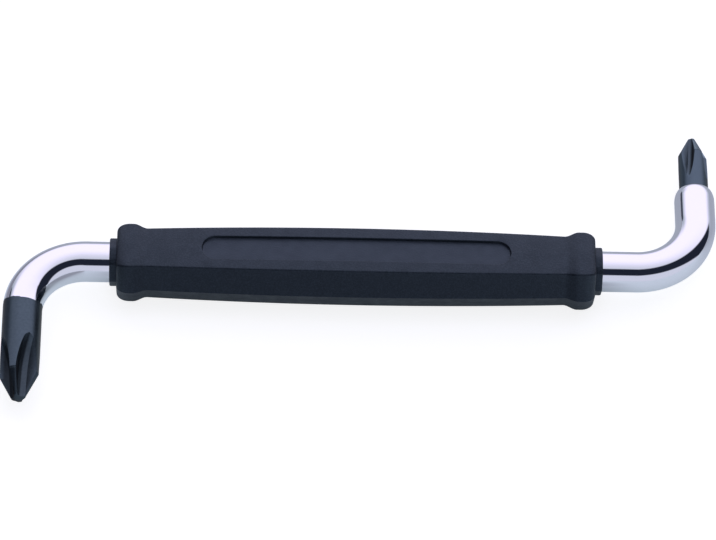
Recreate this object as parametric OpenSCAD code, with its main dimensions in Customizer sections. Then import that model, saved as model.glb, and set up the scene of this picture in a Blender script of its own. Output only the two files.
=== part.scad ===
// Double-ended offset screwdriver. A round steel bar is bent into a flat Z, with a cross-point
// tip on each arm: a large one at the -X end and a small one at the +X end. A six-sided plastic
// handle is moulded round the middle of the bar, with a raised bead at each end, a short collar
// where the bar comes out, and a recessed marking panel on top.
// Millimetres. The straight of the bar runs along X, the arms lie level along Y, and the tool
// rests on z = 0 with its panel facing up.

/* [Bar] */
// Diameter of the round bar
bar_d = 6.2; // [6:0.1:7]
// Distance between the centre lines of the two arms
arm_spacing = 103; // [98:1:140]

/* [Large tip] */
// Reach of the arm, from the centre line of the bar to the end of the tip
large_reach = 26; // [22:0.5:45]
// Bend radius at the centre line of the bar
large_bend_r = 9.4; // [7:0.1:12]
// Diameter of the ground blade
large_d = 6; // [5:0.1:6.1]
// Length of the ground blade, measured back from the end of the tip round the bend
large_blade_len = 17.7; // [13:0.1:24]
// Diameter of the blunt end of the point
large_end_d = 2.3; // [1.8:0.1:3]
// Length of the flutes, from the end of the tip to where they run out
large_flute_len = 10.5; // [8:0.1:12.5]
// Web left between opposite flutes at the end of the tip
large_web = 1.1; // [0.9:0.05:1.5]
// Width of the bottom of a flute, between the flanks of the two wings beside it
large_floor_w = 1.2; // [1:0.1:1.8]
// Angle that the floor of a flute climbs at, away from the axis
large_climb = 6; // [4:0.5:8]
// Radius at the root of the flutes
large_root_r = 0.7; // [0.2:0.05:0.8]
// Turn of the cross about the arm
large_turn = -27; // [-45:1:45]

/* [Small tip] */
// Reach of the arm, from the centre line of the bar to the end of the tip
small_reach = 26; // [22:0.5:45]
// Bend radius at the centre line of the bar
small_bend_r = 9.4; // [7:0.1:11]
// Diameter of the turned-down blade
small_d = 4.5; // [4:0.1:5.2]
// Length of the turned-down blade, from the end of its shoulder to the end of the tip
small_blade_len = 10.4; // [9.5:0.1:12]
// Length of the rounded shoulder behind the blade
small_shoulder_len = 2; // [0.9:0.1:3]
// Diameter of the blunt end of the point
small_end_d = 1.3; // [1:0.1:1.8]
// Length of the flutes, from the end of the tip to where they run out
small_flute_len = 8.6; // [7:0.1:9.2]
// Web left between opposite flutes at the end of the tip
small_web = 0.9; // [0.6:0.05:1.1]
// Width of the bottom of a flute, between the flanks of the two wings beside it
small_floor_w = 0.6; // [0.4:0.1:1]
// Angle that the floor of a flute climbs at, away from the axis
small_climb = 9; // [5:0.5:10]
// Radius at the root of the flutes
small_root_r = 0.45; // [0.15:0.05:0.5]
// Turn of the cross about the arm
small_turn = -24; // [-45:1:45]

/* [Cross point] */
// Included angle of the point
point_angle = 54; // [50:1:64]
// Included angle of the valley at the bottom of a flute
valley_angle = 140; // [130:1:150]
// Included angle between the two flanks of a flute
flank_angle = 86; // [80:1:104]
// Radius of the disc cutter that leaves the rounded run-out of a flute
cutter_r = 16; // [12:1:40]

/* [Handle] */
// Length between the two end faces
handle_len = 73.1; // [60:0.1:76]
// Distance of its middle from midway between the arms, towards the small tip
handle_x = -0.9; // [-3:0.1:3]
// Width at the middle, across the two parting edges
mid_w = 11.7; // [11:0.1:14]
// Thickness at the middle, across the two flats
mid_t = 9; // [8.6:0.1:12]
// Width at the neck behind each bead
neck_w = 10.4; // [9.6:0.1:10.9]
// Thickness at the neck behind each bead
neck_t = 8.3; // [7.8:0.1:8.5]
// Width at the crest of each bead
bead_w = 11.7; // [10.4:0.1:13]
// Thickness at the crest of each bead
bead_t = 9.3; // [8.7:0.1:12]
// Slope of the four sides away from upright, in degrees
side_slope = 20.5; // [10:0.5:22]
// Rounding of the six long edges
crease_r = 0.4; // [0.1:0.05:0.8]

/* [Beads and collars] */
// Length of each bead, from the end face to the neck
bead_len = 4.7; // [4:0.1:8]
// Length of the level crest of each bead
crest_len = 0.6; // [0.3:0.05:1.2]
// Length of the rounding at each end of the handle
end_round_len = 1.9; // [1:0.1:2.4]
// Depth of the rounding at each end of the handle, off each side of its width
end_round_w = 1.25; // [0.4:0.05:1.3]
// Depth of the rounding at each end of the handle, off each side of its thickness
end_round_t = 0.85; // [0.4:0.05:0.9]
// Diameter of the collar round the bar at each end
collar_d = 7.4; // [7.2:0.1:7.6]
// Length of the collar
collar_len = 1.1; // [0.5:0.1:3]

/* [Marking panel] */
// Length of the recessed panel
panel_len = 47.2; // [30:0.1:58]
// Width of the recessed panel
panel_w = 4.4; // [2.5:0.1:5]
// Depth of the recessed panel
panel_depth = 0.5; // [0.1:0.05:0.55]

/* [Locking wings] */
// Span of the wings pressed out of the bar inside the handle
wing_span = 8.6; // [7.6:0.1:9]
// Length of the pressed stretch
wing_len = 9; // [6:0.5:20]
// Thickness of the wings
wing_t = 2.2; // [1.5:0.1:3]
// Depth of the flats that the press leaves above and below
press_depth = 0.6; // [0.2:0.1:1]

/* [Hidden] */
$fn = 64;

// Gap all round between the bar and the plastic moulded on it
moulded_fit = 0.02;
// Overrun of every cut past the face that it opens
overrun = 1;
// Angle that the ground stretch of the bend laps back into the full bar
bend_lap = 6;
// Angle that the run-out of a flute laps into its straight, and goes on past the blade
sweep_lap = 4;
// Steps along a rounded corner, a rounded end, a bead, half the barrel, the root of a flute and
// the domed end of a point
corner_steps = 3;
round_steps = 6;
bead_steps = 8;
barrel_steps = 10;
root_steps = 6;
dome_steps = 6;
// Height of the domed end of a point, as a share of its diameter
dome_share = 0.14;
// Slope of the ends of the wings, as a share of how far they stand out
wing_ramp_share = 1.5;
flutes = 4;

axis_z = max(bead_t, mid_t) / 2;
bar_r = bar_d / 2;
arm_x = arm_spacing / 2;
half_len = handle_len / 2;
crest_start = end_round_len;
crest_end = crest_start + crest_len;
barrel_half = half_len - bead_len;

// Sizes of the handle along its length

// Radius of an arc that rises by rise over half a chord
function arc_radius(rise, half_chord) = (rise ^ 2 + half_chord ^ 2) / (2 * rise);

// Drop of the barrel below its middle, at x from the middle
function barrel_drop(x, rise) =
    rise == 0 ? 0 : let (r = arc_radius(rise, barrel_half)) r - sign(r) * sqrt(r ^ 2 - x ^ 2);

// Half-size of the body at x from the middle, from its half-sizes at the middle, neck and bead and
// the depth of the rounding at its ends
function half_size(x, mid, neck, bead, depth) =
    let (from_end = half_len - abs(x))
    from_end < crest_start
        ? bead - depth * (1 - sqrt(1 - ((crest_start - from_end) / end_round_len) ^ 2))
    : from_end <= crest_end ? bead
    : from_end < bead_len
        ? let (share = (from_end - crest_end) / (bead_len - crest_end))
          neck + (bead - neck) * (1 + cos(180 * share)) / 2
    : mid - barrel_drop(x, mid - neck);

function half_width(x) = half_size(x, mid_w / 2, neck_w / 2, bead_w / 2, end_round_w);
function half_thick(x) = half_size(x, mid_t / 2, neck_t / 2, bead_t / 2, end_round_t);

// Stations of one half of the handle, from the middle to the end face
half_stations = concat(
    [for (i = [0 : barrel_steps - 1]) barrel_half * i / barrel_steps],
    [for (i = [0 : bead_steps - 1]) barrel_half + (bead_len - crest_end) * i / bead_steps],
    [half_len - crest_end],
    [for (i = [0 : round_steps]) half_len - crest_start + end_round_len * sin(90 * i / round_steps)]
);
last_station = len(half_stations) - 1;
stations = concat(
    [for (i = [last_station : -1 : 1]) -half_stations[i]],
    half_stations
);

// Six-sided section at x: the corners in turn from the +Y parting edge, each rounded between the
// directions of the two sides that meet there
function section(x) =
    let (
        w = half_width(x),
        t = half_thick(x),
        flat = w - t * tan(side_slope),
        corners = [[w, 0], [flat, t], [-flat, t], [-w, 0], [-flat, -t], [flat, -t]],
        sides = [-side_slope, side_slope, 90, 180 - side_slope, 180 + side_slope, 270, 360 - side_slope]
    )
    [
        for (i = [0 : len(corners) - 1])
            let (
                from = [cos(sides[i]), sin(sides[i])],
                to = [cos(sides[i + 1]), sin(sides[i + 1])],
                centre = corners[i] - crease_r * (from + to) / (1 + from * to)
            )
            for (k = [0 : corner_steps])
                let (a = sides[i] + (sides[i + 1] - sides[i]) * k / corner_steps)
                [x, centre[0] + crease_r * cos(a), centre[1] + crease_r * sin(a)]
    ];

// Closed skin over a list of rings of equal length, with a flat cap on each end
module skin(rings) {
    n = len(rings[0]);
    last = len(rings) - 1;
    sides = [
        for (i = [0 : last - 1], k = [0 : n - 1])
            let (a = i * n + k, b = i * n + (k + 1) % n)
            for (face = [[a, a + n, b], [b, a + n, b + n]]) face
    ];
    polyhedron(
        points = [for (ring = rings) each ring],
        faces = concat(
            [[for (k = [0 : n - 1]) k]],
            sides,
            [[for (k = [n - 1 : -1 : 0]) last * n + k]]
        )
    );
}

// Blank of the handle, before its bore and panel
module handle_blank() {
    skin([for (x = stations) section(x)]);
    rotate([0, 90, 0])
        cylinder(d = collar_d, h = handle_len + 2 * collar_len, center = true);
}

// Panel recess, with round ends and a floor that follows the barrel of the handle
module panel_cut() {
    straight = panel_len - panel_w;
    floor_points = [
        for (i = [-barrel_steps : barrel_steps])
            let (x = (panel_len / 2 + overrun) * i / barrel_steps)
            [x, half_thick(x) - panel_depth]
    ];
    intersection() {
        linear_extrude(height = axis_z + overrun) {
            square([straight, panel_w], center = true);
            for (side = [-1, 1])
                translate([side * straight / 2, 0])
                    circle(d = panel_w);
        }
        rotate([90, 0, 0])
            linear_extrude(height = panel_w + 2 * overrun, center = true)
                polygon(concat(
                    [[-panel_len / 2 - overrun, axis_z + overrun]],
                    floor_points,
                    [[panel_len / 2 + overrun, axis_z + overrun]]
                ));
    }
}

// Straight of the bar between the bends, with the wings and flats that a press leaves in its
// middle to lock the handle. A gap makes the hollow that the plastic leaves round it.
module locked_bar(gap, length) {
    tip = wing_span / 2 + gap;
    ramp = wing_ramp_share * (wing_span / 2 - bar_r);
    half = wing_len / 2 + gap;
    flat_z = bar_r - press_depth + gap;
    flat_half = wing_len / 2 - gap;
    rotate([0, 90, 0])
        difference() {
            cylinder(r = bar_r + gap, h = length, center = true);
            for (side = [-1, 1])
                translate([side * (flat_z + bar_r), 0, 0])
                    cube([2 * bar_r, 2 * bar_d, 2 * flat_half], center = true);
        }
    linear_extrude(height = wing_t + 2 * gap, center = true)
        polygon([
            [-half, 0], [-half + ramp, tip], [half - ramp, tip],
            [half, 0], [half - ramp, -tip], [-half + ramp, -tip]
        ]);
}

// Part of the quarter bend that leaves the bar along X and ends along Y. It turns on from the
// end of the bar at start -90, or back from the foot of the arm at start 0.
module bend(bend_r, d, start, angle) {
    translate([0, bend_r, 0])
        rotate([0, 0, start])
            rotate_extrude(angle = angle)
                translate([bend_r, 0])
                    circle(d = d);
}

// Outline of a point in half section, from the foot of its cone up to its domed end
function point_outline(d, end_d, end) =
    let (
        dome = dome_share * end_d,
        cone = (d - end_d) / 2 / tan(point_angle / 2)
    )
    concat(
        [[d / 2, end - dome - cone]],
        [
            for (i = [0 : dome_steps])
                let (a = 90 * i / dome_steps)
                [end_d / 2 * cos(a), end - dome + dome * sin(a)]
        ]
    );

// Cutter for one flute of a tip along Z: a shallow valley with a rounded root, between two steep
// flanks. Its floor climbs from half the web at the end of the tip, and where the disc cutter
// leaves the blade it runs out in an arc.
module flute(d, web, floor_w, climb, root_r, flute_len, end) {
    half_valley = valley_angle / 2;
    half_flank = flank_angle / 2;
    reach = d;
    root = [
        for (i = [-root_steps : root_steps])
            let (a = (90 - half_valley) * i / root_steps)
            [root_r * (cos(a) - 1), root_r * sin(a)]
    ];
    root_end = root[2 * root_steps];
    foot = [root_end[0] - (floor_w / 2 - root_end[1]) / tan(half_valley), floor_w / 2];
    edge = foot + reach * [-cos(half_flank), sin(half_flank)];
    profile = concat([[edge[0], -edge[1]], [foot[0], -foot[1]]], root, [foot, edge]);
    rise = max(0, (d - web) / 2 - flute_len * tan(climb));
    sweep = acos(1 - rise * cos(climb) / cutter_r);
    straight = flute_len - cutter_r * (sin(climb + sweep) - sin(climb));
    translate([web / 2, 0, end])
        rotate([0, 180 - climb, 0]) {
            translate([0, 0, -overrun])
                linear_extrude(height = straight / cos(climb) + overrun)
                    polygon(profile);
            translate([-cutter_r, 0, straight / cos(climb)])
                rotate([90, 0, 0])
                    rotate([0, 0, -sweep_lap])
                        rotate_extrude(angle = sweep + 2 * sweep_lap)
                            translate([cutter_r, 0])
                                polygon(profile);
        }
}

// Tip along Z: a revolved outline with four flutes between its wings
module cross_tip(outline, d, web, floor_w, climb, root_r, flute_len, end, turn) {
    difference() {
        rotate_extrude()
            polygon(outline);
        for (i = [0 : flutes - 1])
            rotate([0, 0, turn + 360 / flutes * i])
                flute(d, web, floor_w, climb, root_r, flute_len, end);
    }
}

// Arm with the large tip, as it leaves the end of the straight bar along X and turns to +Y. The
// blade is ground down from the bar, and the ground stretch starts before the end of the bend.
module large_arm() {
    straight = large_reach - large_bend_r;
    ground = max(0, large_blade_len - straight) / large_bend_r * 180 / PI;
    foot = max(0, straight - large_blade_len);
    bend(large_bend_r, bar_d, -90, 90 - ground);
    if (ground > 0)
        bend(large_bend_r, large_d, 0, -ground - bend_lap);
    translate([large_bend_r, large_bend_r, 0])
        rotate([-90, 0, 0])
            cross_tip(
                concat(
                    foot > 0 ? [[0, 0], [bar_r, 0], [bar_r, foot]] : [[0, 0]],
                    [[large_d / 2, foot]],
                    point_outline(large_d, large_end_d, straight)
                ),
                large_d, large_web, large_floor_w, large_climb, large_root_r, large_flute_len,
                straight, large_turn - 90
            );
}

// Arm with the small tip, laid out the same way. The bar ends in a rounded shoulder, and the
// blade beyond it is turned down.
module small_arm() {
    straight = small_reach - small_bend_r;
    shoulder = max(0, straight - small_blade_len);
    round_len = min(small_shoulder_len, shoulder);
    round_depth = bar_r - small_d / 2;
    bend(small_bend_r, bar_d, -90, 90);
    translate([small_bend_r, small_bend_r, 0])
        rotate([-90, 0, 0])
            cross_tip(
                concat(
                    [[0, 0], [bar_r, 0]],
                    [
                        for (i = [0 : round_steps])
                            let (a = 90 * i / round_steps)
                            [small_d / 2 + round_depth * cos(a), shoulder - round_len * (1 - sin(a))]
                    ],
                    point_outline(small_d, small_end_d, straight)
                ),
                small_d, small_web, small_floor_w, small_climb, small_root_r, small_flute_len,
                straight, small_turn - 90
            );
}

// Steel bar with both tips, one piece: chrome plated, with its two blades blackened
module blade() {
    large_end_x = arm_x - large_bend_r;
    small_end_x = arm_x - small_bend_r;
    color("silver")
        translate([0, 0, axis_z]) {
            translate([handle_x, 0, 0])
                locked_bar(0, handle_len);
            translate([handle_x + half_len, 0, 0])
                rotate([0, 90, 0])
                    cylinder(r = bar_r, h = small_end_x - handle_x - half_len);
            translate([-large_end_x, 0, 0])
                rotate([0, 90, 0])
                    cylinder(r = bar_r, h = large_end_x + handle_x - half_len);
            translate([small_end_x, 0, 0])
                small_arm();
            rotate([0, 0, 180])
                translate([large_end_x, 0, 0])
                    large_arm();
        }
}

// Plastic handle, moulded on the bar in one shot
module handle() {
    color("dimgray")
        translate([handle_x, 0, axis_z])
            difference() {
                handle_blank();
                panel_cut();
                locked_bar(moulded_fit, handle_len + 2 * collar_len + 2 * overrun);
            }
}

blade();
handle();
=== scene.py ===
import math

import bmesh
import bpy
from mathutils import Matrix, Vector


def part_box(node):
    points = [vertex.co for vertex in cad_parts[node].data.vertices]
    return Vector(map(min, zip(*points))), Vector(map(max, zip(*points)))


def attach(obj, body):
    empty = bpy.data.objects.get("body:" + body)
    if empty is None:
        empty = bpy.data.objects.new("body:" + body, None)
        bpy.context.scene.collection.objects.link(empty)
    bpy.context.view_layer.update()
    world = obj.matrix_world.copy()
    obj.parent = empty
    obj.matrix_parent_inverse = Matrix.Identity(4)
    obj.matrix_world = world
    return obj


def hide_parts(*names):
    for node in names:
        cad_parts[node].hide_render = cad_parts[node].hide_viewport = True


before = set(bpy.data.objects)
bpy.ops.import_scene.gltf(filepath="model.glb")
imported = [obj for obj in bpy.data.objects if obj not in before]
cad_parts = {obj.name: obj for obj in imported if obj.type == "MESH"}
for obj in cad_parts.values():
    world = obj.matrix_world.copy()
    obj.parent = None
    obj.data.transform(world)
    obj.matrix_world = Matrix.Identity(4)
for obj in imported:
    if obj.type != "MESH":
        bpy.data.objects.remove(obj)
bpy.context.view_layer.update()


# Bar with its two tips: one round bar of chrome vanadium steel, bent cold into a flat Z, with a
# cross point milled on each end. The bar is polished and chrome plated, and both blades are
# blackened after plating.

mm = 0.001
weld_gap = 0.001 * mm
pick_gap = 0.01 * mm
half_step = 0.5
quarter_turn = math.pi / 2
x_axis, y_axis, z_axis = (1, 0, 0), (0, 1, 0), (0, 0, 1)
large_side, small_side = -1, 1

bar_low, bar_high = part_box("blade")
axis_z = (bar_low.z + bar_high.z) / 2
bar_r = 3.1 * mm
arm_x = bar_high.x - bar_r
reach = bar_high.y
bend_r = 9.4 * mm
bend_x = arm_x - bend_r
bar_sides = 96
bend_steps = 48
bar_smooth_angle = math.radians(24)

point_half_angle = math.radians(25.5)
cone_steps = 6
dome_share = 0.14
dome_steps = 5

large_r = 3.0 * mm
large_end_r = 1.15 * mm
large_web = 1.5 * mm
large_floor_half = 0.7 * mm
large_climb = math.radians(4.6)
large_root_r = 0.7 * mm
large_flute_len = 10.5 * mm
large_turn = math.radians(27)
large_blade_steps = 14
taper_angle = math.radians(68)
taper_steps = 12
black_angle = math.radians(83.3)
black_slant = 0.24

small_r = 2.25 * mm
small_end_r = 0.65 * mm
small_web = 0.9 * mm
small_floor_half = 0.3 * mm
small_climb = math.radians(9)
small_root_r = 0.45 * mm
small_flute_len = 8.6 * mm
small_turn = math.radians(-24)
small_blade_len = 10.4 * mm
small_blade_steps = 10
small_arm_steps = 6
shoulder_len = 2.0 * mm
shoulder_steps = 14

flute_count = 4
valley_half_angle = math.radians(70)
flank_half_angle = math.radians(43)
cutter_r = 16 * mm
cutter_reach_share = 2.2
cutter_overrun = 1 * mm
sweep_steps = 8
root_steps = 4


def select_only(piece, test):
    """In edit mode, selects the vertices that pass the test and nothing else."""
    bpy.ops.mesh.select_all(action="DESELECT")
    mesh = bmesh.from_edit_mesh(piece.data)
    for vertex in mesh.verts:
        vertex.select = test(vertex.co)
    mesh.select_flush_mode()
    bmesh.update_edit_mesh(piece.data)


def bend_centre(side, angle):
    """Centre line of the bar at an angle into the bend of one arm."""
    return Vector((
        side * (bend_x + bend_r * math.sin(angle)),
        side * bend_r * (1 - math.cos(angle)),
        axis_z,
    ))


def spin_arm(side, angle, steps):
    """Carries the selected open end of the bar on round the bend of one arm."""
    bpy.ops.mesh.spin(
        steps=steps, angle=-angle, center=(side * bend_x, side * bend_r, axis_z), axis=z_axis
    )


def draw_out(side, start, radius, stations):
    """Carries the selected open end on along one arm, through stations of reach and radius, and
    closes it in a point."""
    at = start
    for station, next_radius in stations:
        bpy.ops.mesh.extrude_region_move(
            TRANSFORM_OT_translate={"value": (0, side * (station - at), 0)}
        )
        share = next_radius / radius
        bpy.ops.transform.resize(
            value=(share, share, share), center_override=(side * arm_x, side * station, axis_z)
        )
        at, radius = station, next_radius
    bpy.ops.mesh.merge(type="CENTER")


def even_stations(start, end, radius, count):
    """Stations of one radius, evenly spaced up to the end."""
    return [(start + (end - start) * (i + 1) / count, radius) for i in range(count)]


def point_stations(radius, end_r):
    """Foot of a point's cone, and its cone and domed end as stations of reach and radius."""
    dome = 2 * end_r * dome_share
    cone = (radius - end_r) / math.tan(point_half_angle)
    foot = reach - dome - cone
    stations = [
        (foot + cone * (i + 1) / cone_steps, radius + (end_r - radius) * (i + 1) / cone_steps)
        for i in range(cone_steps)
    ]
    for i in range(1, dome_steps + 1):
        turn = quarter_turn * i / (dome_steps + half_step)
        stations.append((reach - dome + dome * math.sin(turn), end_r * math.cos(turn)))
    return foot, stations


bpy.ops.object.select_all(action="DESELECT")
bpy.ops.mesh.primitive_circle_add(
    vertices=bar_sides, radius=bar_r, location=(-bend_x, 0, axis_z), rotation=(0, quarter_turn, 0)
)
bar = bpy.context.object
bar.name = "bar_with_tips"
bpy.ops.object.transform_apply(location=True, rotation=True, scale=True)
bpy.ops.object.mode_set(mode="EDIT")
bpy.ops.mesh.extrude_region_move(TRANSFORM_OT_translate={"value": (2 * bend_x, 0, 0)})

# The small arm: the bend, a rounded shoulder, and the turned-down blade
spin_arm(small_side, quarter_turn, bend_steps)
shoulder = reach - small_blade_len
foot, point = point_stations(small_r, small_end_r)
small_stations = even_stations(bend_r, shoulder - shoulder_len, bar_r, small_arm_steps)
for i in range(1, shoulder_steps + 1):
    turn = quarter_turn * i / shoulder_steps
    small_stations.append((
        shoulder - shoulder_len * (1 - math.sin(turn)),
        small_r + (bar_r - small_r) * math.cos(turn),
    ))
small_stations += even_stations(shoulder, foot, small_r, small_blade_steps) + point
draw_out(small_side, bend_r, bar_r, small_stations)

# The large arm: the bend, drawn down to the blade's radius over its last part, and the blade
select_only(bar, lambda co: co.x < -bend_x + pick_gap)
spin_arm(large_side, taper_angle, bend_steps)
taper_turn = (quarter_turn - taper_angle) / taper_steps
radius = bar_r
for i in range(1, taper_steps + 1):
    spin_arm(large_side, taper_turn, 1)
    next_radius = bar_r + (large_r - bar_r) * i / taper_steps
    share = next_radius / radius
    bpy.ops.transform.resize(
        value=(share, share, share),
        center_override=bend_centre(large_side, taper_angle + taper_turn * i),
    )
    radius = next_radius
foot, point = point_stations(large_r, large_end_r)
large_stations = even_stations(bend_r, foot, large_r, large_blade_steps) + point
draw_out(large_side, bend_r, large_r, large_stations)

bpy.ops.mesh.select_all(action="SELECT")
bpy.ops.mesh.remove_doubles(threshold=weld_gap)
bpy.ops.mesh.normals_make_consistent(inside=False)

# The edges of the two blackened stretches
black_at = bend_centre(large_side, black_angle)
black_way = Vector((-math.cos(black_angle), -math.sin(black_angle), -black_slant))
for at, way in ((black_at, black_way), ((arm_x, shoulder, axis_z), y_axis)):
    bpy.ops.mesh.select_all(action="SELECT")
    bpy.ops.mesh.bisect(plane_co=at, plane_no=way)
bpy.ops.object.mode_set(mode="OBJECT")


def loft(name, rings):
    """A new mesh in edit mode: a circle laid out on the first ring of points, and extruded on to
    each next one."""
    bpy.ops.object.select_all(action="DESELECT")
    bpy.ops.mesh.primitive_circle_add(vertices=len(rings[0]), radius=1)
    piece = bpy.context.object
    piece.name = name
    bpy.ops.object.mode_set(mode="EDIT")
    outline = bmesh.from_edit_mesh(piece.data)
    loop = [outline.verts[:][0]]
    edge = loop[0].link_edges[0]
    while len(loop) < len(rings[0]):
        loop.append(edge.other_vert(loop[-1]))
        edge = next(e for e in loop[-1].link_edges if e != edge)
    for vertex, point in zip(loop, rings[0]):
        vertex.co = point
    bmesh.update_edit_mesh(piece.data)
    for old_ring, new_ring in zip(rings, rings[1:]):
        bpy.ops.mesh.extrude_region_move()
        grown = bmesh.from_edit_mesh(piece.data)
        for vertex in grown.verts:
            if vertex.select:
                k = min(
                    range(len(old_ring)), key=lambda i: (vertex.co - old_ring[i]).length_squared
                )
                vertex.co = new_ring[k]
        bmesh.update_edit_mesh(piece.data)
    return piece


def flute_ring(side, angle, station, floor, floor_half, root_r, wing):
    """Section of a flute's cutter, at a height over the arm's axis: a shallow valley with a
    rounded root, between two steep flanks."""
    outward = Vector((math.sin(angle), 0, math.cos(angle)))
    across = Vector((math.cos(angle), 0, -math.sin(angle)))
    middle = Vector((side * arm_x, side * station, axis_z))
    root_turn = quarter_turn - valley_half_angle
    points = []
    for k in range(-root_steps, root_steps + 1):
        a = root_turn * k / root_steps
        points.append((floor + root_r * (1 - math.cos(a)), root_r * math.sin(a)))
    rise = (floor_half - points[-1][1]) / math.tan(valley_half_angle)
    foot = (points[-1][0] + rise, floor_half)
    edge = (
        foot[0] + wing * math.cos(flank_half_angle), foot[1] + wing * math.sin(flank_half_angle)
    )
    points = [(edge[0], -edge[1]), (foot[0], -foot[1])] + points + [foot, edge]
    return [middle + outward * out + across * aside for out, aside in points]


def cut_flutes(side, radius, web, floor_half, climb, root_r, flute_len, turn):
    """Mills the flutes of one tip. Each floor climbs evenly from the web at the end of the tip,
    and runs out in an arc where the disc cutter leaves the blade."""
    rise = radius - web / 2 - flute_len * math.tan(climb)
    sweep = math.acos(1 - rise * math.cos(climb) / cutter_r)
    straight = flute_len - cutter_r * (math.sin(climb + sweep) - math.sin(climb))
    stations = []
    for i in range(sweep_steps + 1, -1, -1):
        pitch = climb + sweep * i / sweep_steps
        stations.append((
            straight + cutter_r * (math.sin(pitch) - math.sin(climb)),
            straight * math.tan(climb) + cutter_r * (math.cos(climb) - math.cos(pitch)),
        ))
    stations += [(0, 0), (-cutter_overrun, -cutter_overrun * math.tan(climb))]
    wing = cutter_reach_share * radius
    for k in range(flute_count):
        angle = turn + quarter_turn * k
        cutter = loft("flute_cutter", [
            flute_ring(side, angle, reach - back, web / 2 + height, floor_half, root_r, wing)
            for back, height in stations
        ])
        bpy.ops.mesh.select_all(action="SELECT")
        bpy.ops.mesh.fill_holes(sides=0)
        bpy.ops.mesh.normals_make_consistent(inside=False)
        bpy.ops.object.mode_set(mode="OBJECT")
        bpy.context.view_layer.objects.active = bar
        cut = bar.modifiers.new("flute", "BOOLEAN")
        cut.object = cutter
        cut.solver = "EXACT"
        bpy.ops.object.modifier_apply(modifier=cut.name)
        bpy.data.objects.remove(cutter)


cut_flutes(
    large_side, large_r, large_web, large_floor_half,
    large_climb, large_root_r, large_flute_len, large_turn,
)
cut_flutes(
    small_side, small_r, small_web, small_floor_half,
    small_climb, small_root_r, small_flute_len, small_turn,
)

bpy.ops.object.select_all(action="DESELECT")
bar.select_set(True)
bpy.context.view_layer.objects.active = bar
bpy.ops.object.shade_smooth_by_angle(angle=bar_smooth_angle)

grain_detail, mottle_detail = 3, 4


def grain_group():
    """Fine surface grain of a plated, blackened or moulded skin: its height and a soft mottle."""
    group = bpy.data.node_groups.new("fine_grain", "ShaderNodeTree")
    group.interface.new_socket("Vector", in_out="INPUT", socket_type="NodeSocketVector")
    group.interface.new_socket("Grain Scale", in_out="INPUT", socket_type="NodeSocketFloat")
    group.interface.new_socket("Mottle Scale", in_out="INPUT", socket_type="NodeSocketFloat")
    group.interface.new_socket("Height", in_out="OUTPUT", socket_type="NodeSocketFloat")
    group.interface.new_socket("Mottle", in_out="OUTPUT", socket_type="NodeSocketFloat")
    nodes, links = group.nodes, group.links
    inner = nodes.new("NodeGroupInput")
    outer = nodes.new("NodeGroupOutput")
    for scale, output, detail in (
        ("Grain Scale", "Height", grain_detail),
        ("Mottle Scale", "Mottle", mottle_detail),
    ):
        noise = nodes.new("ShaderNodeTexNoise")
        noise.inputs["Detail"].default_value = detail
        links.new(inner.outputs["Vector"], noise.inputs["Vector"])
        links.new(inner.outputs[scale], noise.inputs["Scale"])
        links.new(noise.outputs["Fac"], outer.inputs[output])
    return group


fine_grain = grain_group()


class Finish:
    """The node tree of a material or world, with short ways to add and join its nodes."""

    # Places of a Mix node's colour sockets among all its sockets
    first_colour, second_colour, colour_out = 6, 7, 2

    def __init__(self, owner):
        owner.use_nodes = True
        self.owner = owner
        self.nodes = owner.node_tree.nodes
        self.links = owner.node_tree.links
        self.shader = self.nodes.get("Principled BSDF")

    def add(self, kind, **settings):
        node = self.nodes.new(kind)
        for key, value in settings.items():
            setattr(node, key, value)
        return node

    def feed(self, socket, value):
        """Joins another node's output to a socket, or sets a plain value on it."""
        if isinstance(value, bpy.types.NodeSocket):
            self.links.new(value, socket)
        else:
            socket.default_value = value

    def set(self, name, value):
        self.feed(self.shader.inputs[name], value)

    def math(self, operation, *values):
        node = self.add("ShaderNodeMath", operation=operation)
        for socket, value in zip(node.inputs, values):
            self.feed(socket, value)
        return node.outputs[0]

    def dot(self, vector, direction):
        node = self.add("ShaderNodeVectorMath", operation="DOT_PRODUCT")
        self.feed(node.inputs[0], vector)
        node.inputs[1].default_value = direction
        return node.outputs["Value"]

    def ramp(self, value, low, high, to_low=0.0, to_high=1.0):
        """A smooth step from one value to another, as the input goes from low to high."""
        node = self.add("ShaderNodeMapRange", interpolation_type="SMOOTHSTEP")
        for socket, setting in zip(node.inputs, (value, low, high, to_low, to_high)):
            self.feed(socket, setting)
        return node.outputs[0]

    def mix_colour(self, share, first, second, blend="MIX"):
        node = self.add("ShaderNodeMix", data_type="RGBA", blend_type=blend)
        self.feed(node.inputs["Factor"], share)
        self.feed(node.inputs[self.first_colour], first)
        self.feed(node.inputs[self.second_colour], second)
        return node.outputs[self.colour_out]

    def place(self):
        return self.add("ShaderNodeTexCoord").outputs["Object"]

    def grain(self, vector, grain_scale, mottle_scale):
        node = self.add("ShaderNodeGroup", node_tree=fine_grain)
        self.feed(node.inputs["Vector"], vector)
        node.inputs["Grain Scale"].default_value = grain_scale
        node.inputs["Mottle Scale"].default_value = mottle_scale
        return node.outputs["Height"], node.outputs["Mottle"]

    def bump(self, height, strength, distance):
        node = self.add("ShaderNodeBump")
        self.feed(node.inputs["Height"], height)
        self.feed(node.inputs["Strength"], strength)
        node.inputs["Distance"].default_value = distance
        return node.outputs["Normal"]


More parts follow.
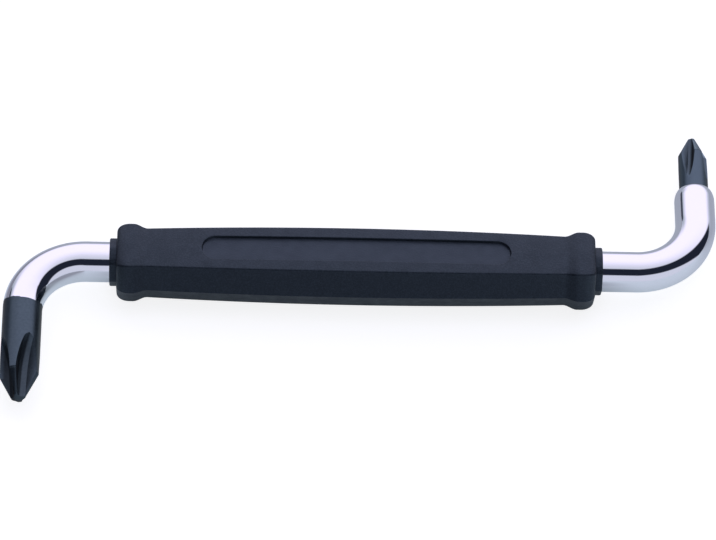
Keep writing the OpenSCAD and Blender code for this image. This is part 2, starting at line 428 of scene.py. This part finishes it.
plating = (0.80, 0.80, 0.825, 1)
chrome_grain_scale, chrome_mottle_scale = 5200, 900
chrome_mottle_range = (0.3, 0.8)
chrome_roughness = (0.045, 0.075)
chrome_bump_share, chrome_bump_depth = 0.01, 0.05 * mm
chrome = Finish(bpy.data.materials.new("chrome_plate"))
height, mottle = chrome.grain(chrome.place(), chrome_grain_scale, chrome_mottle_scale)
chrome.set("Base Color", plating)
chrome.set("Metallic", 1.0)
chrome.set("Roughness", chrome.ramp(mottle, *chrome_mottle_range, *chrome_roughness))
chrome.set("Normal", chrome.bump(height, chrome_bump_share, chrome_bump_depth))
bar.data.materials.append(chrome.owner)

black_deep = (0.062, 0.087, 0.104, 1)
black_pale = (0.074, 0.102, 0.121, 1)
small_pale = (0.086, 0.120, 0.145, 1)
flute_painted_shade = (0.68, 0.66, 0.65, 1)
outer_painted_shade = (0.50, 0.50, 0.51, 1)
small_point_painted_highlight = (0.270, 0.350, 0.385, 1)
black_tint = (0.62, 0.55, 0.49, 1)
black_metal_share = 0.86
black_grain_scale, black_mottle_scale = 5200, 2400
black_pale_range = (0.3, 0.7)
black_rough_range = (0.25, 0.75)
black_roughness = (0.29, 0.34)
black_bump_share, black_bump_depth = 0.06, 0.05 * mm
painted_highlight_range = (0.25, 0.65)
painted_highlight_shares = (0.5, 1)
flute_share, crest_share = 0.70, 0.96
outer_side = 0.45 * mm
outer_fade = 0.25 * mm
blued = Finish(bpy.data.materials.new("blackened_steel"))
where = blued.place()
height, mottle = blued.grain(where, black_grain_scale, black_mottle_scale)

# The finish is mottled pale and dark, and paler on the small point; painted shade darkens it in
# the flutes
along = blued.dot(where, x_axis)
on_small = blued.math("GREATER_THAN", along, 0)
blade_r = blued.math("MULTIPLY_ADD", on_small, small_r - large_r, large_r)
end_r = blued.math("MULTIPLY_ADD", on_small, small_end_r - large_end_r, large_end_r)
to_end = blued.math("SUBTRACT", reach, blued.math("ABSOLUTE", blued.dot(where, y_axis)))
cone_r = blued.math("MULTIPLY_ADD", to_end, math.tan(point_half_angle), end_r)
aside = blued.math("SUBTRACT", blued.math("ABSOLUTE", along), arm_x)
over = blued.math("SUBTRACT", blued.dot(where, z_axis), axis_z)
from_axis = blued.math(
    "SQRT", blued.math("MULTIPLY_ADD", aside, aside, blued.math("MULTIPLY", over, over))
)
depth = blued.math("DIVIDE", from_axis, blued.math("MINIMUM", blade_r, cone_r))
tone_and_painted_shade = blued.mix_colour(blued.ramp(mottle, *black_pale_range), black_deep, black_pale)
tone_and_painted_shade = blued.mix_colour(on_small, tone_and_painted_shade, small_pale)
# Painted shade: the colour is darkened in the flutes, where shade falls
in_flute = blued.ramp(depth, flute_share, crest_share, 1, 0)
tone_and_painted_shade = blued.mix_colour(in_flute, tone_and_painted_shade, flute_painted_shade, "MULTIPLY")

# Painted shade on the outer side of the large point, on its cone and in its flutes
on_cone = blued.math("LESS_THAN", cone_r, blade_r)
outer_x = -arm_x - outer_side
outer = blued.ramp(along, outer_x - outer_fade, outer_x + outer_fade, 1, 0)
outer_painted_shade_share = blued.math("MULTIPLY", outer, blued.math("MAXIMUM", in_flute, on_cone))
tone_and_painted_shade = blued.mix_colour(outer_painted_shade_share, tone_and_painted_shade, outer_painted_shade, "MULTIPLY")

# Painted highlight on the outer side of the small point's cone, outside the flutes, broken up by
# the mottle
painted_highlight_share = blued.ramp(along, arm_x - outer_fade, arm_x + outer_fade)
painted_highlight_share = blued.math("MULTIPLY", painted_highlight_share, on_cone)
painted_highlight_share = blued.math("MULTIPLY", painted_highlight_share, blued.math("SUBTRACT", 1, in_flute))
painted_highlight_share = blued.math("MULTIPLY", painted_highlight_share, blued.ramp(mottle, *painted_highlight_range, *painted_highlight_shares))
blued.set("Base Color", blued.mix_colour(painted_highlight_share, tone_and_painted_shade, small_point_painted_highlight))
blued.set("Metallic", black_metal_share)
blued.set("Specular Tint", black_tint)
blued.set("Roughness", blued.ramp(mottle, *black_rough_range, *black_roughness))
blued.set("Normal", blued.bump(height, black_bump_share, black_bump_depth))
bar.data.materials.append(blued.owner)
for face in bar.data.polygons:
    past_edge = (face.center - black_at).dot(black_way) > 0
    face.material_index = 1 if past_edge or face.center.y > shoulder else 0

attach(bar, "root")
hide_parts("blade")


# Handle: one black plastic moulding, shot round the straight of the bar in a two-part mould. It
# has six long faces, a bead and a collar at each end, a mould line along its two widest edges,
# and a sunk panel on top that is left bare.

handle_low, handle_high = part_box("handle")
handle_x = (handle_low.x + handle_high.x) / 2
handle_half = 36.55 * mm
bead_len = 4.7 * mm
crest_start = 1.9 * mm
crest_end = 2.5 * mm
barrel_half = handle_half - bead_len
mid_half = (5.85 * mm, 4.5 * mm)
neck_half = (5.2 * mm, 4.15 * mm)
bead_half = (5.85 * mm, 4.65 * mm)
end_drop = (1.25 * mm, 0.85 * mm)
side_slope = math.radians(20.5)
crease_r = 0.4 * mm
crease_steps = 4
crown = 0.16 * mm
mould_line = 0.03 * mm
bead_steps = 14
end_steps = 10
handle_smooth_angle = math.radians(35)

collar_r = 3.7 * mm
collar_len = 1.1 * mm
collar_x = handle_half + collar_len
collar_edge = 0.18 * mm
collar_round_share = 0.3
collar_round = collar_round_share * collar_edge
collar_lip = 0.05 * mm
bore_gap = 0.02 * mm
bore_r = bar_r + bore_gap
bore_x = collar_x - collar_lip

panel_half_len = 23.6 * mm
panel_half_w = 2.2 * mm
panel_depth = 0.5 * mm
panel_draft_share = 0.955
panel_edge = 0.09 * mm
panel_edge_steps = 3
panel_rim_gap = 0.02 * mm
panel_rim_angle = math.radians(45)
panel_level_share = 0.9
panel_turns = 6
panel_straight_steps = 10
panel_margin_steps = 5
panel_straight = panel_half_len - panel_half_w
last_turn = quarter_turn * (panel_turns - half_step) / panel_turns
panel_tip = panel_straight + panel_half_w * math.sin(last_turn)
least_skin = 0.5 * mm
over_bar = axis_z + bar_r + least_skin


def half_sizes(x):
    """Half-width and half-thickness of the handle at x from its middle."""
    from_end = handle_half - abs(x)
    sizes = []
    for mid, neck, bead, drop in zip(mid_half, neck_half, bead_half, end_drop):
        if from_end < crest_start:
            u = (crest_start - from_end) / crest_start
            sizes.append(bead - drop * (1 - math.sqrt(max(0, 1 - u * u))))
        elif from_end <= crest_end:
            sizes.append(bead)
        elif from_end < bead_len:
            u = (from_end - crest_end) / (bead_len - crest_end)
            sizes.append(neck + (bead - neck) * (1 + math.cos(math.pi * u)) / 2)
        else:
            sizes.append(mid - (mid - neck) * (x / barrel_half) ** 2)
    return sizes


def panel_rim(x):
    """Half-width of the panel at x. The panel ends in half circles, and its last width runs on
    past them."""
    along = min(max(0, abs(x) - panel_straight), panel_tip - panel_straight)
    return math.sqrt(panel_half_w ** 2 - along ** 2)


def handle_ring(x):
    """Points round the handle at x: six rounded corners, with the panel's rim on the top face,
    and the same points on the bottom face."""
    w, t = half_sizes(x)
    flat = w - t * math.tan(side_slope)
    low = t - crown
    tilt = math.atan(2 * crown / flat)
    up, far, down, whole = (quarter_turn * k for k in (1, 2, 3, 4))
    corners = [
        (w, 0, -side_slope, side_slope),
        (flat, low, side_slope, up - tilt),
        (-flat, low, up + tilt, far - side_slope),
        (-w, 0, far - side_slope, far + side_slope),
        (-flat, -low, far + side_slope, down - tilt),
        (flat, -low, down + tilt, whole - side_slope),
    ]
    before_top, before_bottom = 1, 4
    points = []
    for i, (y, z, first, last) in enumerate(corners):
        start = Vector((math.cos(first), math.sin(first)))
        end = Vector((math.cos(last), math.sin(last)))
        centre = Vector((y, z)) - crease_r * (start + end) / (1 + start.dot(end))
        for k in range(crease_steps + 1):
            a = first + (last - first) * k / crease_steps
            ridge = mould_line if y in (w, -w) and 2 * k == crease_steps else 0
            points.append(centre + (crease_r + ridge) * Vector((math.cos(a), math.sin(a))))
        if i in (before_top, before_bottom):
            rim = panel_rim(x)
            face = 1 if i == before_top else -1
            for y_at in ((flat + rim) / 2, rim, -rim, -(flat + rim) / 2):
                points.append(Vector((face * y_at, face * (t - crown * (y_at / flat) ** 2))))
    return [Vector((handle_x + x, p[0], axis_z + p[1])) for p in points]


def round_ring(x, radius, like):
    """The same points set out on a circle at x."""
    ring = []
    for p in like:
        a = math.atan2(p.z - axis_z, p.y)
        ring.append(Vector((handle_x + x, radius * math.cos(a), axis_z + radius * math.sin(a))))
    return ring


def mirrored(ring):
    """The same ring at the other end of the handle."""
    return [Vector((2 * handle_x - p.x, p.y, p.z)) for p in ring]


half_stations = [
    panel_straight * i / panel_straight_steps for i in range(panel_straight_steps + 1)
]
half_stations += [
    panel_straight + panel_half_w * math.sin(quarter_turn * (i + half_step) / panel_turns)
    for i in range(panel_turns)
]
half_stations += [
    panel_tip + (barrel_half - panel_tip) * (i + 1) / panel_margin_steps
    for i in range(panel_margin_steps)
]
half_stations += [
    barrel_half + (bead_len - crest_end) * (i + 1) / bead_steps for i in range(bead_steps)
]
half_stations += [
    handle_half - crest_start + crest_start * math.sin(quarter_turn * i / end_steps)
    for i in range(end_steps + 1)
]
body = [handle_ring(x) for x in half_stations]
collar = [
    (handle_half, collar_r + collar_lip),
    (handle_half + collar_lip, collar_r),
    (collar_x - collar_edge, collar_r),
    (collar_x - collar_round, collar_r - collar_round),
    (collar_x, collar_r - collar_edge),
    (collar_x, bore_r + collar_lip),
    (bore_x, bore_r),
]
half_rings = body + [round_ring(x, ring_r, body[-1]) for x, ring_r in collar]
handle = loft("moulded_handle", [mirrored(ring) for ring in half_rings[:0:-1]] + half_rings)
select_only(
    handle,
    lambda co: abs(abs(co.x - handle_x) - bore_x) < weld_gap
    and math.hypot(co.y, co.z - axis_z) < bore_r + pick_gap,
)
bpy.ops.mesh.bridge_edge_loops()
bpy.ops.mesh.select_all(action="SELECT")
bpy.ops.mesh.normals_make_consistent(inside=False)

# The sunk panel: its outline is already drawn on the top face, and its floor is pushed down
bpy.ops.mesh.select_mode(type="FACE")
bpy.ops.mesh.select_all(action="DESELECT")
top = bmesh.from_edit_mesh(handle.data)
for face in top.faces:
    centre = face.calc_center_median()
    face.select = (
        face.normal.z > panel_level_share
        and abs(centre.y) < pick_gap
        and centre.z > over_bar
        and abs(centre.x - handle_x) < panel_tip
    )
bmesh.update_edit_mesh(handle.data)
bpy.ops.mesh.extrude_region_move(TRANSFORM_OT_translate={"value": (0, 0, -panel_depth)})
bpy.ops.transform.resize(
    value=(1 - (1 - panel_draft_share) * panel_half_w / panel_half_len, panel_draft_share, 1),
    center_override=(handle_x, 0, axis_z),
)

# The edges of the panel's rim and floor are rounded
bpy.ops.mesh.select_mode(type="EDGE")
bpy.ops.mesh.select_all(action="DESELECT")
top = bmesh.from_edit_mesh(handle.data)
for edge in top.edges:
    middle = (edge.verts[0].co + edge.verts[1].co) / 2
    edge.select = (
        middle.z > axis_z + bar_r
        and abs(middle.y) < panel_half_w + panel_rim_gap
        and abs(middle.x - handle_x) < panel_half_len
        and len(edge.link_faces) == 2
        and edge.calc_face_angle() > panel_rim_angle
    )
top.select_flush_mode()
bmesh.update_edit_mesh(handle.data)
bpy.ops.mesh.bevel(offset=panel_edge, segments=panel_edge_steps, affect="EDGES")
bpy.ops.mesh.select_mode(type="VERT")
bpy.ops.object.mode_set(mode="OBJECT")
bpy.ops.object.shade_smooth_by_angle(angle=handle_smooth_angle)
weighted = handle.modifiers.new("flat_faces", "WEIGHTED_NORMAL")
weighted.keep_sharp = True
bpy.ops.object.modifier_apply(modifier=weighted.name)

plastic_deep = (0.0002, 0.0008, 0.0030, 1)
plastic_pale = (0.0090, 0.0115, 0.0175, 1)
panel_painted_sheen = (0.0160, 0.0195, 0.0290, 1)
plastic_tint = (0.63, 0.82, 1, 1)
plastic_gloss = 0.62
plastic_grain_scale, plastic_mottle_scale = 4200, 620
plastic_pale_range = (0.4, 0.65)
plastic_rough_range = (0.25, 0.75)
plastic_roughness = (0.42, 0.52)
plastic_bump_share, plastic_bump_depth = 0.7, 0.06 * mm
panel_floor_rise = 4.1 * mm
panel_top = axis_z + panel_floor_rise
panel_side = panel_half_w * panel_draft_share
panel_fade = 0.05 * mm
plastic = Finish(bpy.data.materials.new("black_moulded_plastic"))
where = plastic.place()
height, mottle = plastic.grain(where, plastic_grain_scale, plastic_mottle_scale)
skin = plastic.mix_colour(plastic.ramp(height, *plastic_pale_range), plastic_deep, plastic_pale)

# The floor of the panel is smoother in the mould than the rest; its paler sheen is painted into
# its colour
beside = plastic.math("ABSOLUTE", plastic.dot(where, y_axis))
along = plastic.math("ABSOLUTE", plastic.math("SUBTRACT", plastic.dot(where, x_axis), handle_x))
on_floor = plastic.ramp(beside, panel_side - panel_fade, panel_side, 1, 0)
for place, limit in ((plastic.dot(where, z_axis), panel_top), (along, panel_tip)):
    inside = plastic.ramp(place, limit - panel_fade, limit, 1, 0)
    on_floor = plastic.math("MULTIPLY", on_floor, inside)
plastic.set("Base Color", plastic.mix_colour(on_floor, skin, panel_painted_sheen))
plastic.set("Specular IOR Level", plastic_gloss)
plastic.set("Specular Tint", plastic_tint)
plastic.set("Roughness", plastic.ramp(mottle, *plastic_rough_range, *plastic_roughness))
plastic.set("Normal", plastic.bump(height, plastic_bump_share, plastic_bump_depth))
handle.data.materials.append(plastic.owner)

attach(handle, "root")
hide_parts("handle")


# Floor: a plain white sheet of paper that the tool lies on, with nothing to fix it. It takes the
# tool's soft shadow. In the gloss of the tool it glows bluish, with painted shade that makes it
# dimmer beside the handle than past its ends.

floor_half = 3.0
white = (1, 1, 1, 1)
paper_colour = (0.40, 0.41, 0.43, 1)
paper_gloss_tint = (0.75, 0.88, 1, 1)
paper_glow = 0.84
handle_end = (34 * mm, 44 * mm)
front_shares = (0.16, 0.66)
near_shares = (0.32, 0.66)
back_share = 0.30
front_band = (-14 * mm, -8 * mm)
near_band = (-8 * mm, 18 * mm)
left_band = (-66 * mm, -56 * mm)
left_shares = (0.2, 1)
bpy.ops.object.select_all(action="DESELECT")
bpy.ops.mesh.primitive_plane_add(size=2 * floor_half, location=(0, 0, 0))
floor = bpy.context.object
floor.name = "floor"
paper = Finish(bpy.data.materials.new("white_floor"))
paper.nodes.remove(paper.shader)
where = paper.place()
along = paper.dot(where, x_axis)
away = paper.dot(where, y_axis)
beside = paper.math("ABSOLUTE", along)
# Painted shade in the glow that the gloss sees: dimmer in front of and under the handle, and to
# the left
front = paper.ramp(beside, *handle_end, *front_shares)
near = paper.ramp(beside, *handle_end, *near_shares)
share = paper.ramp(away, *front_band, front, near)
share = paper.ramp(away, *near_band, share, back_share)
share = paper.math("MULTIPLY", share, paper.ramp(along, *left_band, *left_shares))
rays = paper.add("ShaderNodeLightPath").outputs
seen = paper.math("MAXIMUM", rays["Is Camera Ray"], rays["Is Transmission Ray"])
seen = paper.math("MAXIMUM", seen, paper.math("MULTIPLY", rays["Is Glossy Ray"], share))
matt = paper.add("ShaderNodeBsdfDiffuse")
matt.inputs["Color"].default_value = paper_colour
glow = paper.add("ShaderNodeEmission")
glow_colour = paper.mix_colour(rays["Is Glossy Ray"], white, paper_gloss_tint)
paper.feed(glow.inputs["Color"], glow_colour)
paper.feed(glow.inputs["Strength"], paper.math("MULTIPLY", seen, paper_glow))
both = paper.add("ShaderNodeAddShader")
paper.feed(both.inputs[0], matt.outputs[0])
paper.feed(both.inputs[1], glow.outputs[0])
paper.feed(paper.nodes["Material Output"].inputs["Surface"], both.outputs[0])
floor.data.materials.append(paper.owner)


# Studio light: a white tent all round. It is dimmer in front and bluish near the floor. A dark
# slot on the camera's side draws the dark line along the chrome, and the tent has a dark seam and
# a dark flag on its left.

front_light = (0.72, 0.745, 0.90, 1)
back_light = (1.20, 1.14, 1.42, 1)
low_light = (0.48, 0.53, 0.65, 1)
dark_light = (0.015, 0.019, 0.034, 1)
back_range = (-0.35, 0.6)
low_way = (0, 0.35, 1)
low_range = (0.21, 0.61)
low_back_range = (-0.2, 0.3)
left_way = (-1, 0, 0)
left_range = (0.3, 0.7)
left_height_range = (0.15, 0.5)
slot_normal = (-0.2704, 0.7689, 0.5793)
slot_middle = (0.315, -0.545, 0.777)
slot_offset = 0.045
slot_width_range = (0.255, 0.345)
slot_length_range = (0.05, 0.18)
seam_way = (-0.799, 0.601, 0.02)
seam_range = (0.984, 0.992)
seam_share = 0.90
flag_range = (0.25, 0.5)
flag_back_range = (0.35, 0.6)
flag_share = 0.85
studio = Finish(bpy.data.worlds.new("light_tent"))
bpy.context.scene.world = studio.owner
way = studio.add("ShaderNodeTexCoord").outputs["Generated"]
back = studio.dot(way, y_axis)
left = studio.dot(way, left_way)
tent_light = studio.mix_colour(studio.ramp(back, *back_range), front_light, back_light)

# The bluish light near the floor, at the back and on the left
low_back = studio.ramp(studio.dot(way, low_way), *low_range, 1, 0)
low_back = studio.math("MULTIPLY", low_back, studio.ramp(back, *low_back_range))
low_left = studio.ramp(studio.dot(way, z_axis), *left_height_range, 1, 0)
low_left = studio.math("MULTIPLY", low_left, studio.ramp(left, *left_range))
low = studio.math("MAXIMUM", low_back, low_left)
tent_light = studio.mix_colour(low, tent_light, low_light)

# The dark slot, seam and flag
across = studio.math("ADD", studio.dot(way, slot_normal), slot_offset)
slot_width = studio.ramp(studio.math("ABSOLUTE", across), *slot_width_range, 1, 0)
slot_length = studio.ramp(studio.dot(way, slot_middle), *slot_length_range)
slot_dark = studio.math("MULTIPLY", slot_width, slot_length)
seam_dark = studio.ramp(studio.dot(way, seam_way), *seam_range, 0, seam_share)
flag_dark = studio.ramp(back, *flag_back_range, flag_share, 0)
flag_dark = studio.math("MULTIPLY", flag_dark, studio.ramp(left, *flag_range))
dark = studio.math("MAXIMUM", studio.math("MAXIMUM", slot_dark, seam_dark), flag_dark)
tent_light = studio.mix_colour(dark, tent_light, dark_light)

rays = studio.add("ShaderNodeLightPath").outputs
seen = studio.math("MAXIMUM", rays["Is Camera Ray"], rays["Is Transmission Ray"])
background = studio.nodes["Background"]
studio.feed(background.inputs["Color"], studio.mix_colour(seen, tent_light, white))


# Camera: a long lens, a little in front of the tool and well above it. Its turn, scale and
# framing are fitted to the photograph.

photo_width, photo_height = 716, 540
tilt, yaw, roll = math.radians(-36.84), math.radians(1.32), math.radians(-1.11)
distance = 0.8
pixels_per_mm = 6.533
centre_px = (361.73, 267.0)
sensor = 36
nearest = 0.01
turned = (
    Matrix.Rotation(roll, 3, "Z") @ Matrix.Rotation(yaw, 3, "Y") @ Matrix.Rotation(tilt, 3, "X")
)
bpy.ops.object.camera_add()
camera = bpy.context.object
camera.matrix_world = Matrix.Translation(
    Vector((0, 0, axis_z)) + turned.transposed() @ Vector((0, 0, distance))
) @ turned.transposed().to_4x4()
camera.data.sensor_width = sensor
camera.data.lens = pixels_per_mm / mm * distance * sensor / photo_width
camera.data.shift_x = -(centre_px[0] - photo_width / 2) / photo_width
camera.data.shift_y = (centre_px[1] - photo_height / 2) / photo_width
camera.data.clip_start = nearest
bpy.context.scene.camera = camera
bpy.context.scene.view_settings.view_transform = "Standard"
